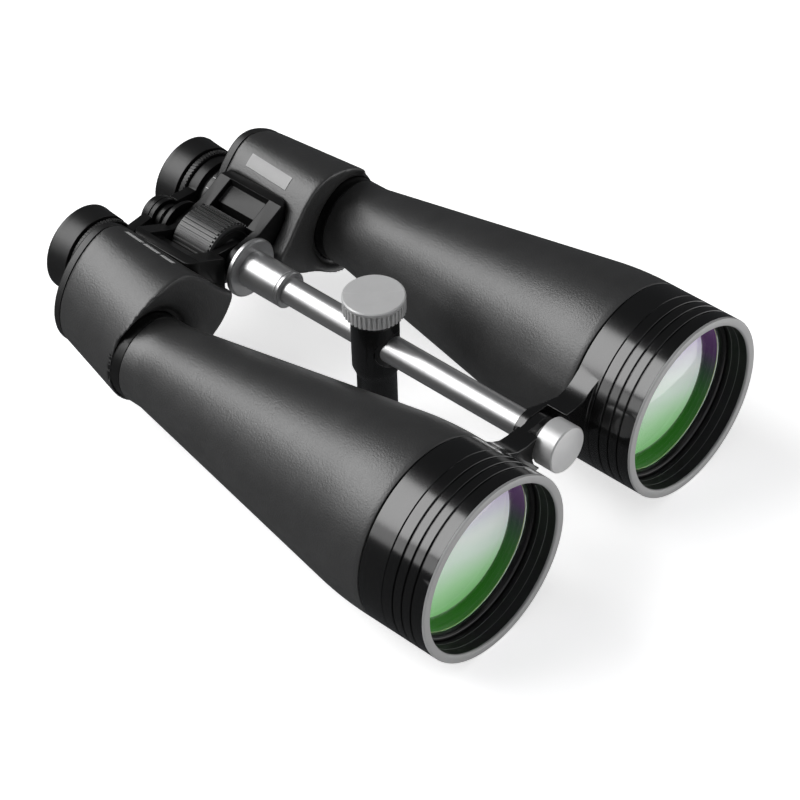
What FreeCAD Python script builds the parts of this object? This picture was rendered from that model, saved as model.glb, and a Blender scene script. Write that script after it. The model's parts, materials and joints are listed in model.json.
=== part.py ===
"""Giant astronomy binoculars: two tapered barrels on a centre rod, Porro prism housings at the
back, a bridge that focuses both eyepieces, and a tripod post that slides along the rod.

Millimetres. While a piece is drawn, y is counted back from the front rims and z up from the
optical axes of the barrels; save() then puts the origin under the middle of the whole object.
Every piece of one half is drawn on the +X side, and the left half is its mirror image.
A name that ends in _Y is a place along the length, and one that ends in _Z is a height.
"""
import FreeCAD, Part
import math
import os

V = FreeCAD.Vector

# ---- overall sizes --------------------------------------------------------------------------
BARREL_X = 70.5          # optical axis of a barrel from the middle plane
HINGE_Z = 12.0           # hinge axis and centre rod above the optical axes
HOOD_R = 47.0
HOOD_LENGTH = 25.0
NECK_Y = 218.0           # seam between barrel and prism housing
HOUSING_LENGTH = 51.0    # from that seam to the rear cover
FIT = 0.05               # radial clearance of pieces that sit in one another
SLIDE_FIT = 0.04         # radial clearance of pieces that turn or slide on one another
GAP = 0.4                # space between faces that pass each other

# ---- objective end --------------------------------------------------------------------------
HOOD_BORE_R = HOOD_R - 4.3
HOOD_GROOVES_Y = (8.1, 13.4, 18.7)
GROOVE_WIDTH = 1.2
GROOVE_DEPTH = 1.0
BRACE_LENGTH = 14.0
BRACE_ROOT_Z = 28.0      # height at which the arm's hollow top meets the ring
BRACE_HOLLOW = ((-15.0, -7.0), (-9.5, -6.2), (-4.5, -3.5), (2.0, 1.5))    # that top, from the meeting line
SPIGOT_R = HOOD_R - 2.0  # barrel's front spigot, inside the hood and the brace ring
SPIGOT_Y = HOOD_LENGTH - 4.5
CELL_R = HOOD_BORE_R - 0.2
CELL_Y = 13.2
CELL_LENGTH = 20.0
CELL_LIP = 1.5           # inner lip that the objective rests on
LENS_R = HOOD_BORE_R - 1.7
CLEAR_R = LENS_R - 1.0
LENS_Y = 16.4            # front edge of the objective

# ---- barrel ---------------------------------------------------------------------------------
BARREL_WALL = 2.5
BARREL_Y = HOOD_LENGTH + BRACE_LENGTH
NECK_R = 22.6
SHOULDER_Y = BARREL_Y + 18.0
NARROW_Y = NECK_Y - 9.4  # where the taper has come down to the neck
TAPER = (HOOD_R - NECK_R) / (NARROW_Y - SHOULDER_Y)
TAPER_BLEND = 14.0       # length of the round shoulder before the taper, each side
BAFFLE_Y = 120.0
BAFFLE_THICK = 1.5
BAFFLE_DEPTH = 6.0

# ---- prism housing --------------------------------------------------------------------------
RIDGE_Y = NECK_Y - 2.0   # front edge of the housing's shell
COVE_Y = NECK_Y + 5.4    # where its hollowed front face meets the neck
COVE_R = 42.0            # outer edge of that hollow
COVE_SWEEP = 17.0
HOUSING_END_Y = NECK_Y + HOUSING_LENGTH
COVER_THICK = 5.0
COVER_END_Y = HOUSING_END_Y + COVER_THICK
SKIN = 1.8               # rubber armour
SKIN_GAP = 0.15          # glue line under the armour
SHELF_PLAY = 0.35        # play of the prism shelf in the casting
CASTING_WALL = 2.4
CAVITY_Y = NECK_Y + 9.6
FRONT_OUTLINE = ((-53, -2), (-43.5, 7.5), (-33.5, 19), (-22.5, 26), (-8.5, 25.5), (7.5, 17.5), (20.5, 1.5),
                 (25.0, -16), (14.0, -34.5), (-7.5, -40), (-28.5, -27), (-51.5, -10))
REAR_OUTLINE = ((-52, -2), (-43.5, 10), (-33.5, 23), (-22.5, 29.5), (-8.5, 26), (5.5, 14), (13.5, -4),
                (12.5, -16), (2.5, -30), (-13.5, -36), (-32.5, -29), (-50.5, -14))
BOSS_R = 3.4
BOSS_LENGTH = 13.0
COVER_SCREW_R = 1.2
COVER_SCREW_LENGTH = 15.0

# ---- optics behind the barrel ---------------------------------------------------------------
EYE_IN = 33.15           # eyepiece axis inward of the barrel axis
EYE_UP = 4.7             # and above it
EYE_X = BARREL_X - EYE_IN
PRISM_HALF = 10.0        # half width of a prism
SHELF_THICK = 3.0
PAD_R = 1.5
PAD_LENGTH = 6.0

# ---- centre line ----------------------------------------------------------------------------
ROD_R = 7.0
ROD_STUB_R = 5.0
FLANGE_R = 15.5
FLANGE_Y = (NECK_Y + 1.4, NECK_Y + 4.4)
SLEEVE_R = 9.7
SLEEVE_Y = FLANGE_Y[0] - 26.0
HINGE_R = 6.0            # steel tube that both halves turn on
HINGE_BORE_R = 3.2
HINGE_END_Y = HOUSING_END_Y + 3.6
END_CAP_R = 14.0
END_CAP_Y = HOUSING_END_Y + 0.2
LUG_R = 9.0
FRAME_TOP_Z = 30.4       # flat top of the frame round the focus wheel
FRAME_CORNER_R = 6.0
BAR_Y = ((NECK_Y + 8.0, NECK_Y + 16.8), (HOUSING_END_Y - 7.6, HOUSING_END_Y - 0.2))
LUG_Y = {"right": ((BAR_Y[0][0], BAR_Y[0][0] + 4.2), (BAR_Y[1][1] - 3.6, BAR_Y[1][1])),
         "left": ((BAR_Y[0][1] - 4.2, BAR_Y[0][1]), (BAR_Y[1][0], BAR_Y[1][0] + 3.4))}
WHEEL_R = 17.0
WHEEL_Y = (BAR_Y[0][1] + GAP, BAR_Y[1][0] - GAP)
WHEEL_RIBS = 44
KNOB_R = 12.0
KNOB_Y = (HOOD_LENGTH - 7.3, HOOD_LENGTH + 4.0)
KNOB_NECK_R = 4.3
KNOB_NECK_Y = HOOD_LENGTH + 7.6
KNOB_THREAD_R = KNOB_NECK_R - 1.04
KNOB_THREAD_Y = HOOD_LENGTH + 16.0
BRACE_LUG_R = 10.0
BRACE_LUG_Y = {"left": (HOOD_LENGTH + 8.0, HOOD_LENGTH + 12.8), "right": (HOOD_LENGTH + 13.2, HOOD_LENGTH + 18.0)}
STUB_Y = KNOB_NECK_Y + 0.3
ROD_END_Y = BRACE_LUG_Y["right"][1] + GAP

# ---- eyepieces ------------------------------------------------------------------------------
TUBE_R = 16.5
TUBE_WALL = 1.6
TUBE_Y = (HOUSING_END_Y - 7.0, HINGE_END_Y, HOUSING_END_Y + 30.0)
NOSE_R = 12.5
NOSE_WALL = 1.2
GUIDE_END_Y = HOUSING_END_Y + 9.0
ARM_Y = (HOUSING_END_Y + 12.0, HOUSING_END_Y + 18.0)
HUB_R = 10.5
BRIDGE_PIN_R = 4.0
PIN_FOOT_Y = ARM_Y[0] - 3.3
GRIP_Y = (ARM_Y[1] + 0.3, ARM_Y[1] + 3.6)
GRIP_R = 21.6
GRIP_RIBS = 72
GRIP_RIB_HEIGHT = 0.5
EYECUP_R = 23.1
EYECUP_Y = GRIP_Y[1] + 1.2
LENGTH = HOUSING_END_Y + 36.0    # front rims to the back of the eyecups

# ---- tripod post ----------------------------------------------------------------------------
POST_Y = 137.0
POST_HEAD_R = 11.8
POST_R = 9.83
POST_FLAT = 8.6          # half width over the two flats
POST_BOTTOM_Z = -46.0
HEAD_Z = (-2.0, 27.0)
BLEND_HEIGHT = 5.0
BUSH_R = 9.0
BUSH_LENGTH = 22.0
BUSH_TOP_Z = HINGE_Z + BUSH_R
CLAMP_R = 15.3
CLAMP_Z = (29.6, 40.0)
CLAMP_TOP = 2.4          # plain band above the ribs
CLAMP_COLLAR_R = 11.8
CLAMP_RIBS = 40
SCREW_R = 3.9
SCREW_IN_KNOB = 3.0
TRIPOD_THREAD_R = 3.05   # wall of the 1/4 inch tripod thread
TRIPOD_DEPTH = 12.0

MIDDLE = V(0, -LENGTH / 2, HOOD_R)


# ---- shapes used again and again ------------------------------------------------------------
def turned(profile, x=0.0, z=0.0):
    """Solid turned about the line along y through (x, z); profile is (radius, y) points."""
    points = [V(x + r, y, z) for r, y in profile]
    face = Part.Face(Part.makePolygon(points + points[:1]))
    return face.revolve(V(x, 0, z), V(0, 1, 0), 360)


def bar(radius, y0, y1, x=0.0, z=0.0):
    return Part.makeCylinder(radius, y1 - y0, V(x, y0, z), V(0, 1, 0))


def tube(radius, bore, y0, y1, x=0.0, z=0.0):
    return bar(radius, y0, y1, x, z).cut(bar(bore, y0 - 1, y1 + 1, x, z))


def plate(points, y0, y1):
    """Flat piece with straight sides; points are (x, z)."""
    corners = [V(x, y0, z) for x, z in points]
    return Part.Face(Part.makePolygon(corners + corners[:1])).extrude(V(0, y1 - y0, 0))


def ribbed(radius, depth, count, y0, y1, x=0.0, z=0.0):
    """Solid disc whose rim carries flat-topped ribs along y."""
    points = []
    for i in range(count):
        for share, r in ((-0.28, radius), (0.28, radius), (0.38, radius - depth), (0.62, radius - depth)):
            a = 2 * math.pi * (i + share) / count
            points.append((x + r * math.cos(a), z + r * math.sin(a)))
    return plate(points, y0, y1)


def outline_wire(points, y, inset):
    """Smooth closed outline round the barrel axis, moved inwards by inset."""
    cx = BARREL_X + sum(p[0] for p in points) / len(points)
    cz = HINGE_Z + sum(p[1] for p in points) / len(points)
    ring = []
    for dx, dz in points:
        x = BARREL_X + dx - cx
        z = HINGE_Z + dz - cz
        keep = 1 - inset / math.hypot(x, z)
        ring.append(V(cx + x * keep, y, cz + z * keep))
    curve = Part.BSplineCurve()
    curve.interpolate(Points=ring, PeriodicFlag=True)
    return Part.Wire(curve.toShape())


def housing_form(inset, y0, y1):
    """Solid form of the prism housing between two planes, inset from its outer surface."""
    wires = []
    for y in (y0, y1):
        share = (y - RIDGE_Y) / (HOUSING_END_Y - RIDGE_Y)
        mixed = [(a[0] + share * (b[0] - a[0]), a[1] + share * (b[1] - a[1]))
                 for a, b in zip(FRONT_OUTLINE, REAR_OUTLINE)]
        wires.append(outline_wire(mixed, y, inset))
    return Part.makeLoft(wires, True, True)


# ---- objective end of one half --------------------------------------------------------------
def hood():
    profile = [(HOOD_BORE_R, 1.0), (HOOD_BORE_R + 0.8, 0), (HOOD_R - 1.0, 0), (HOOD_R, 1.0)]
    for y in HOOD_GROOVES_Y:
        profile += [(HOOD_R, y - GROOVE_WIDTH / 2), (HOOD_R - GROOVE_DEPTH, y - GROOVE_WIDTH / 4),
                    (HOOD_R - GROOVE_DEPTH, y + GROOVE_WIDTH / 4), (HOOD_R, y + GROOVE_WIDTH / 2)]
    profile += [(HOOD_R, HOOD_LENGTH), (SPIGOT_R + FIT, HOOD_LENGTH), (SPIGOT_R + FIT, SPIGOT_Y - FIT),
                (HOOD_BORE_R, SPIGOT_Y - FIT)]
    return turned(profile, BARREL_X)


def lens_cell():
    bore = LENS_R + FIT
    lip = CLEAR_R - 0.5
    end = CELL_Y + CELL_LENGTH
    return turned([(bore, CELL_Y), (CELL_R, CELL_Y), (CELL_R, end), (lip, end), (lip, end - CELL_LIP),
                   (bore, end - CELL_LIP)], BARREL_X)


def lens_retainer():
    seat = LENS_Y - 0.4
    return turned([(LENS_R, CELL_Y + 0.3), (LENS_R, seat), (CLEAR_R, seat), (CLEAR_R, seat - 0.8)], BARREL_X)


def sagitta(curve_r, half):
    return math.copysign(abs(curve_r) - math.sqrt(curve_r ** 2 - half ** 2), curve_r)


def lens(radius, front, back, front_curve, back_curve, x, z):
    """Round lens; a positive front curve bulges forward, a positive back curve bulges back."""
    def arc(y, curve_r, way):
        bulge = [V(x + h, y + way * (sagitta(curve_r, radius) - sagitta(curve_r, h)), z)
                 for h in (0, radius / 2, radius)]
        return Part.Arc(*bulge).toShape()
    first = arc(front, front_curve, -1)
    last = arc(back, back_curve, 1)
    rim = Part.makeLine(first.Vertexes[1].Point, last.Vertexes[1].Point)
    axis = Part.makeLine(last.Vertexes[0].Point, first.Vertexes[0].Point)
    wire = Part.Wire(Part.__sortEdges__([first, rim, last, axis]))
    return Part.Face(wire).revolve(V(x, 0, z), V(0, 1, 0), 360)


def front_lens():
    return lens(LENS_R, LENS_Y, LENS_Y + 5.0, 190.0, 165.0, BARREL_X, 0)


def rear_lens():
    return lens(LENS_R, LENS_Y + 5.2, LENS_Y + 14.8, -165.0, 900.0, BARREL_X, 0)


def front_brace(side):
    """Ring round the barrel's spigot, with an arm to a lug on the rod's front stub."""
    y0 = HOOD_LENGTH + 0.1
    y1 = BARREL_Y - 0.1
    lug0, lug1 = BRACE_LUG_Y[side]
    low = min(y0 + 2.0, lug0)
    high = max(y1, lug1)
    root_x = BARREL_X - math.sqrt(HOOD_R ** 2 - BRACE_ROOT_Z ** 2)
    outline = [(0, HINGE_Z + BRACE_LUG_R)] + [(root_x + dx, BRACE_ROOT_Z + dz) for dx, dz in BRACE_HOLLOW]
    outline += [(BARREL_X - HOOD_R + 2, 0.0), (0, HINGE_Z - BRACE_LUG_R)]
    web = plate(outline, lug0, lug1)
    arm = plate(outline, low, high)
    arm = arm.cut(bar(BRACE_LUG_R + 3.5, low - 1, high + 1, 0, HINGE_Z))
    part = bar(HOOD_R, y0, y1, BARREL_X).fuse([arm, web, bar(BRACE_LUG_R, lug0, lug1, 0, HINGE_Z)])
    part = part.cut(bar(HOOD_R + GAP, y1, high + 1, BARREL_X))
    part = part.cut(bar(SPIGOT_R + FIT, low - 9, high + 9, BARREL_X))
    return part.cut(bar(ROD_STUB_R + SLIDE_FIT, low - 9, high + 9, 0, HINGE_Z)).removeSplitter()


# ---- barrel ---------------------------------------------------------------------------------
def barrel_line(inset):
    """Half outline of the barrel behind the brace ring, as (radius, y) points."""
    points = [(HOOD_R - inset, BARREL_Y)]
    for i in range(7):
        t = i / 6
        y = SHOULDER_Y + TAPER_BLEND * (2 * t - 1)
        points.append((HOOD_R - TAPER * TAPER_BLEND * t * t - inset, y))
    return points + [(NECK_R - inset, NARROW_Y), (NECK_R - inset, NECK_Y - 0.15)]


def barrel():
    bore = SPIGOT_R - BARREL_WALL + 0.1
    outside = barrel_line(0)
    inside = [(min(r, bore), y) for r, y in barrel_line(BARREL_WALL)]
    profile = [(bore, SPIGOT_Y), (SPIGOT_R, SPIGOT_Y), (SPIGOT_R, BARREL_Y)] + outside + inside[::-1]
    return turned(profile, BARREL_X)


def barrel_baffle():
    end = BAFFLE_Y + BAFFLE_THICK
    wall_r = HOOD_R - TAPER * (end - SHOULDER_Y) - BARREL_WALL
    return tube(wall_r - FIT, wall_r - BAFFLE_DEPTH, BAFFLE_Y, end, BARREL_X)


# ---- prism housing --------------------------------------------------------------------------
def cove():
    """Space in front of the housing, hollowed round the neck."""
    inside, outside = NECK_R - 12, BARREL_X + 60
    front = RIDGE_Y + 0.6
    profile = [(inside, RIDGE_Y - 9), (outside, RIDGE_Y - 9), (outside, RIDGE_Y)]
    for i in range(6):
        a = math.pi / 2 * i / 5
        profile.append((COVE_R - COVE_SWEEP * math.sin(a), COVE_Y - (COVE_Y - front) * math.cos(a)))
    return turned(profile + [(inside, COVE_Y)], BARREL_X)


def bridge_block(side, grow=0.0):
    """Frame round the focus wheel: a side block, two cross bars and the hinge lugs."""
    inner = WHEEL_R + 2.0
    edge = BARREL_X + FRONT_OUTLINE[1][0] + 1.5
    top = FRAME_TOP_Z
    side_x = edge + 5.5 + grow
    outer_side = [(side_x, top + grow), (side_x, top - 7), (BARREL_X - 41 + grow, 3.0 - grow)]
    side_face = [(inner, 5.0), (inner, top - 8.4), (edge, top - 4.0), (edge, top)] + outer_side
    bar_face = [(LUG_R + 3.0, HINGE_Z + 10.5), (edge, top)] + outer_side + [(LUG_R + 4.0, 4.0 - grow)]
    lug_face = [(0, HINGE_Z + LUG_R), (LUG_R + 4, HINGE_Z + 10.8), (LUG_R + 5, 4.2), (0, HINGE_Z - LUG_R)]
    block = plate(side_face, BAR_Y[0][0] - grow, BAR_Y[1][1] + grow)
    pieces = []
    for (y0, y1), (lug0, lug1) in zip(BAR_Y, LUG_Y[side]):
        pieces.append(plate(bar_face, y0 - grow, y1 + grow))
        if not grow:
            pieces.append(plate(lug_face, lug0, lug1))
            pieces.append(bar(LUG_R, lug0, lug1, 0, HINGE_Z))
    y0, y1 = BAR_Y[0][0] - grow, BAR_Y[1][1] + grow
    plan = Part.makeBox(side_x + LUG_R + 1, y1 - y0, 80, V(-LUG_R - 1, y0, HINGE_Z - 40))
    corners = [e for e in plan.Edges if e.BoundBox.XMin > side_x - 1 and e.BoundBox.ZLength > 1]
    return block.fuse(pieces).common(plan.makeFillet(FRAME_CORNER_R, corners))


def screw_places():
    """Rear cover screws, as (x, z)."""
    return ((EYE_X + 0.65, EYE_UP + 22.3), (BARREL_X + 3.5, 19.0), (BARREL_X - 14.5, -17.0))


def housing(side):
    shell = housing_form(SKIN + SKIN_GAP, COVE_Y + SKIN + FIT, HOUSING_END_Y - 0.1)
    part = shell.fuse(bridge_block(side))
    bosses = [bar(BOSS_R, HOUSING_END_Y - BOSS_LENGTH, HOUSING_END_Y - 0.1, x, z) for x, z in screw_places()]
    cavity = housing_form(SKIN + CASTING_WALL, CAVITY_Y, HOUSING_END_Y + 5)
    cavity = cavity.cut(bosses[0].fuse(bosses[1:]))
    collar = bar(NECK_R, NECK_Y, COVE_Y + SKIN + 1, BARREL_X)
    spigot = bar(NECK_R - BARREL_WALL - FIT, NECK_Y - 10, NECK_Y + 1, BARREL_X)
    part = part.fuse([collar, spigot]).cut(cavity)
    part = part.cut(bar(NECK_R - BARREL_WALL - 2.5, NECK_Y - 11, CAVITY_Y + 1, BARREL_X))
    part = part.cut(bar(HINGE_R + SLIDE_FIT, NECK_Y, HINGE_END_Y, 0, HINGE_Z))
    for x, z in screw_places():
        part = part.cut(bar(COVER_SCREW_R + FIT, COVER_END_Y - 1 - COVER_SCREW_LENGTH, HOUSING_END_Y + 1, x, z))
    return part.removeSplitter()


def armour(side):
    outer = housing_form(0, RIDGE_Y - 3, HOUSING_END_Y)
    inner = housing_form(SKIN, COVE_Y + SKIN, HOUSING_END_Y + 1)
    part = outer.cut(cove()).cut(inner)
    part = part.cut(bar(NECK_R + FIT, RIDGE_Y - 9, COVE_Y + SKIN + 1, BARREL_X))
    return part.cut(bridge_block(side, 0.3))


def rear_cover():
    bevel = 1.2
    start, end = HOUSING_END_Y - 1, COVER_END_Y + 1
    body = Part.makeLoft([outline_wire(REAR_OUTLINE, HOUSING_END_Y + 0.1, 0.2),
                          outline_wire(REAR_OUTLINE, COVER_END_Y - bevel, 0.2)], True, True)
    edge = Part.makeLoft([outline_wire(REAR_OUTLINE, COVER_END_Y - bevel, 0.2),
                          outline_wire(REAR_OUTLINE, COVER_END_Y, 0.2 + bevel)], True, True)
    guide = bar(TUBE_R + 1.8, HOUSING_END_Y + 0.1, GUIDE_END_Y, EYE_X, EYE_UP)
    part = body.fuse([edge, guide]).cut(bar(TUBE_R + SLIDE_FIT, start, GUIDE_END_Y + 1, EYE_X, EYE_UP))
    part = part.cut(bar(END_CAP_R + 2.0, start, end, 0, HINGE_Z))
    for x, z in screw_places():
        part = part.cut(bar(1.5, start, end, x, z)).cut(bar(2.5, COVER_END_Y - 1.7, end, x, z))
    return part.removeSplitter()


def cover_screws():
    end = COVER_END_Y - 0.3
    screws = []
    for x, z in screw_places():
        shank = bar(COVER_SCREW_R, COVER_END_Y - COVER_SCREW_LENGTH, end, x, z)
        screw = shank.fuse(bar(2.3, end - 1.3, end, x, z))
        screws.append(screw.cut(Part.makeBox(4.0, 1.0, 0.6, V(x - 2.0, end - 0.5, z - 0.3))))
    return Part.makeCompound(screws)


# ---- prisms ---------------------------------------------------------------------------------
def shelf_y():
    front = CAVITY_Y + (HOUSING_END_Y - CAVITY_Y - SHELF_THICK) / 2
    return front, front + SHELF_THICK


def beam_places():
    """Beam axes at the shelf: in from the barrel, across between the prisms, out to the eyepiece."""
    step = math.hypot(EYE_IN, EYE_UP) / math.sqrt(2)
    turn = math.atan2(EYE_UP, -EYE_IN) - math.pi / 4
    middle = (BARREL_X + step * math.cos(turn), step * math.sin(turn))
    return (BARREL_X, 0.0), middle, (EYE_X, EYE_UP)


def prism(first, second, y, way):
    """Right-angle prism that carries the beam from one axis to the other, its corner ground flat."""
    cx = (first[0] + second[0]) / 2
    cz = (first[1] + second[1]) / 2
    ux, uz = second[0] - first[0], second[1] - first[1]
    length = math.hypot(ux, uz)
    ux, uz = ux / length, uz / length
    half = length / 2 + PRISM_HALF
    start = V(cx + uz * PRISM_HALF, y, cz - ux * PRISM_HALF)
    corners = [start + V(ux, 0, uz) * -half, start + V(ux, 0, uz) * half, start + V(0, way * half, 0)]
    body = Part.Face(Part.makePolygon(corners + corners[:1])).extrude(V(-uz, 0, ux) * (2 * PRISM_HALF))
    room = housing_form(SKIN + CASTING_WALL + 0.6, CAVITY_Y + 0.4, HOUSING_END_Y - 0.5)
    for x, z in screw_places():
        room = room.cut(bar(BOSS_R + GAP, CAVITY_Y, COVER_END_Y, x, z))
    return body.common(room)


def rear_prism():
    barrel_beam, middle, _ = beam_places()
    return prism(barrel_beam, middle, shelf_y()[1] + FIT, 1)


def front_prism():
    _, middle, eye_beam = beam_places()
    return prism(middle, eye_beam, shelf_y()[0] - FIT, -1)


def prism_shelf():
    y0, y1 = shelf_y()
    part = housing_form(SKIN + CASTING_WALL + SHELF_PLAY, y0, y1)
    for x, z in beam_places():
        part = part.cut(bar(PRISM_HALF - 0.6, y0 - 1, y1 + 1, x, z))
    return part


def prism_pads():
    """Small stops glued to the shelf at the long sides of both prisms."""
    first, middle, last = beam_places()
    y0, y1 = shelf_y()
    pads = []
    for a, b, low, high in ((first, middle, y1 + FIT, y1 + PAD_LENGTH), (middle, last, y0 - PAD_LENGTH, y0 - FIT)):
        ux, uz = b[0] - a[0], b[1] - a[1]
        length = math.hypot(ux, uz)
        ux, uz = ux / length, uz / length
        for way in (-1, 1):
            reach = way * (PRISM_HALF + PAD_R + 0.1)
            x = (a[0] + b[0]) / 2 - uz * reach
            z = (a[1] + b[1]) / 2 + ux * reach
            pads.append(bar(PAD_R, low, high, x, z))
    return Part.makeCompound(pads)


# ---- eyepiece of one half -------------------------------------------------------------------
def eyepiece_tube():
    nose, step, end = TUBE_Y
    shoulder = step + TUBE_WALL
    return turned([(NOSE_R - NOSE_WALL, nose), (NOSE_R, nose), (NOSE_R, step), (TUBE_R, step), (TUBE_R, end),
                   (TUBE_R - TUBE_WALL, end), (TUBE_R - TUBE_WALL, shoulder), (NOSE_R - NOSE_WALL, shoulder)],
                  EYE_X, EYE_UP)


def field_lens():
    front = TUBE_Y[0] + 2.0
    return lens(NOSE_R - NOSE_WALL - FIT, front, front + 2.6, 26.0, 90.0, EYE_X, EYE_UP)


def eye_lens():
    back = TUBE_Y[2] - 5.8
    return lens(TUBE_R - TUBE_WALL - FIT, back - 3.2, back, 60.0, 34.0, EYE_X, EYE_UP)


def eyepiece_arm(side):
    """Arm from the hub on the bridge pin to the ring that carries the eyepiece."""
    y0, y1 = ARM_Y
    middle = (y0 + y1) / 2
    hub0, hub1 = (y0, middle - GAP / 4) if side == "left" else (middle + GAP / 4, y1)
    ring_r = TUBE_R + 3.2
    drop = EYE_UP - HINGE_Z
    reach = math.hypot(EYE_X, drop)
    ux, uz = EYE_X / reach, drop / reach
    far = reach - ring_r + 2.5

    def across(along, half):
        return [(ux * along - uz * half, HINGE_Z + uz * along + ux * half),
                (ux * along + uz * half, HINGE_Z + uz * along - ux * half)]
    web = plate(across(0, 7.0) + across(far, 9.0)[::-1], y0, y1)
    web = web.cut(bar(HUB_R + GAP, y0 - 1, y1 + 1, 0, HINGE_Z))
    tongue = plate(across(0, 7.0) + across(HUB_R + 2, 7.4)[::-1], hub0, hub1)
    part = bar(HUB_R, hub0, hub1, 0, HINGE_Z).fuse([web, tongue, bar(ring_r, y0, y1, EYE_X, EYE_UP)])
    part = part.cut(bar(TUBE_R + SLIDE_FIT, y0 - 1, y1 + 1, EYE_X, EYE_UP))
    return part.cut(bar(BRIDGE_PIN_R + SLIDE_FIT, y0 - 1, y1 + 1, 0, HINGE_Z)).removeSplitter()


def grip_ring():
    y0, y1 = GRIP_Y
    part = ribbed(GRIP_R, GRIP_RIB_HEIGHT, GRIP_RIBS, y0, y1, EYE_X, EYE_UP)
    return part.cut(bar(TUBE_R + SLIDE_FIT, y0 - 1, y1 + 1, EYE_X, EYE_UP))


def eyecup():
    y0 = EYECUP_Y
    return turned([(TUBE_R + FIT, y0), (EYECUP_R - 0.9, y0), (EYECUP_R, LENGTH - 1.6), (EYECUP_R - 0.8, LENGTH),
                   (EYECUP_R - 3.2, LENGTH), (EYECUP_R - 4.0, LENGTH - 3.5), (TUBE_R - TUBE_WALL, TUBE_Y[2] + FIT),
                   (TUBE_R + FIT, TUBE_Y[2] + FIT)], EYE_X, EYE_UP)


# ---- centre line ----------------------------------------------------------------------------
def centre_rod():
    part = bar(ROD_R, ROD_END_Y, FLANGE_Y[0], 0, HINGE_Z)
    part = part.fuse(bar(ROD_STUB_R, STUB_Y, ROD_END_Y + 1, 0, HINGE_Z))
    return part.cut(bar(KNOB_THREAD_R + 0.04, STUB_Y - 1, KNOB_THREAD_Y + 1, 0, HINGE_Z)).removeSplitter()


def rod_sleeve():
    profile = [(ROD_R + FIT, SLEEVE_Y), (SLEEVE_R - 0.8, SLEEVE_Y), (SLEEVE_R, SLEEVE_Y + 0.8),
               (SLEEVE_R, SLEEVE_Y + 1.6), (SLEEVE_R - 0.7, SLEEVE_Y + 1.9), (SLEEVE_R - 0.7, SLEEVE_Y + 2.5),
               (SLEEVE_R, SLEEVE_Y + 2.8), (SLEEVE_R, FLANGE_Y[0] - FIT), (ROD_R + FIT, FLANGE_Y[0] - FIT)]
    return turned(profile, 0, HINGE_Z)


def rod_flange():
    y0, y1 = FLANGE_Y
    return turned([(0, y0), (FLANGE_R - 0.8, y0), (FLANGE_R, y0 + 0.8), (FLANGE_R, y1 - 0.5), (FLANGE_R - 0.5, y1),
                   (0, y1)], 0, HINGE_Z)


def hinge_tube():
    return tube(HINGE_R, HINGE_BORE_R, FLANGE_Y[1] + FIT, HINGE_END_Y, 0, HINGE_Z)


def hinge_end_cap():
    bevel = 1.2
    return turned([(HINGE_R + FIT, END_CAP_Y), (END_CAP_R, END_CAP_Y), (END_CAP_R, HINGE_END_Y - bevel),
                   (END_CAP_R - bevel, HINGE_END_Y), (HINGE_R + FIT, HINGE_END_Y)], 0, HINGE_Z)


def tension_knob():
    y0, y1 = KNOB_Y
    return turned([(0, y0), (KNOB_R - 0.7, y0), (KNOB_R, y0 + 0.7), (KNOB_R, y1 - 0.7), (KNOB_R - 0.7, y1),
                   (KNOB_NECK_R, y1), (KNOB_NECK_R, KNOB_NECK_Y), (KNOB_THREAD_R, KNOB_NECK_Y),
                   (KNOB_THREAD_R, KNOB_THREAD_Y), (0, KNOB_THREAD_Y)], 0, HINGE_Z)


def focus_wheel():
    y0, y1 = WHEEL_Y
    part = ribbed(WHEEL_R, 0.9, WHEEL_RIBS, y0 + 1.2, y1 - 1.2, 0, HINGE_Z)
    ends = [bar(WHEEL_R - 1.0, y0, y0 + 1.3, 0, HINGE_Z), bar(WHEEL_R - 1.0, y1 - 1.3, y1, 0, HINGE_Z)]
    return part.fuse(ends).cut(bar(HINGE_R + SLIDE_FIT, y0 - 1, y1 + 1, 0, HINGE_Z)).removeSplitter()


def focus_screw():
    return bar(HINGE_BORE_R - SLIDE_FIT, WHEEL_Y[0] + 2.8, PIN_FOOT_Y - 0.1, 0, HINGE_Z)


def bridge_pin():
    y0, y1 = ARM_Y
    return turned([(0, PIN_FOOT_Y), (HUB_R - 2, PIN_FOOT_Y), (HUB_R - 2, y0 - 0.2), (BRIDGE_PIN_R, y0 - 0.2),
                   (BRIDGE_PIN_R, y1 + 0.2), (HUB_R - 1, y1 + 0.2), (HUB_R - 1, y1 + 2.2), (HUB_R - 2, y1 + 3.0),
                   (0, y1 + 3.0)], 0, HINGE_Z)


# ---- tripod post ----------------------------------------------------------------------------
def post_bush():
    half = BUSH_LENGTH / 2
    part = tube(BUSH_R, ROD_R + SLIDE_FIT, POST_Y - half, POST_Y + half, 0, HINGE_Z)
    return part.common(upright(POST_HEAD_R - 0.2, HEAD_Z[0], HEAD_Z[1]))


def upright(radius, z0, z1):
    return Part.makeCylinder(radius, z1 - z0, V(0, POST_Y, z0), V(0, 0, 1))


def tripod_post():
    low, high = HEAD_Z
    blend = Part.makeCone(POST_R, POST_HEAD_R, BLEND_HEIGHT, V(0, POST_Y, low - BLEND_HEIGHT), V(0, 0, 1))
    shank = upright(POST_R, POST_BOTTOM_Z, low - BLEND_HEIGHT + 0.1)
    flats = Part.makeBox(2 * POST_FLAT, 60, 80, V(-POST_FLAT, POST_Y - 30, POST_BOTTOM_Z - 1))
    part = upright(POST_HEAD_R, low, high).fuse([blend, shank.common(flats)])
    part = part.cut(bar(BUSH_R + SLIDE_FIT, POST_Y - 30, POST_Y + 30, 0, HINGE_Z))
    part = part.cut(upright(SCREW_R + SLIDE_FIT, HINGE_Z, high + 1))
    hole = upright(TRIPOD_THREAD_R, POST_BOTTOM_Z - 1, POST_BOTTOM_Z + TRIPOD_DEPTH)
    return part.cut(hole).removeSplitter()


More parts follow.
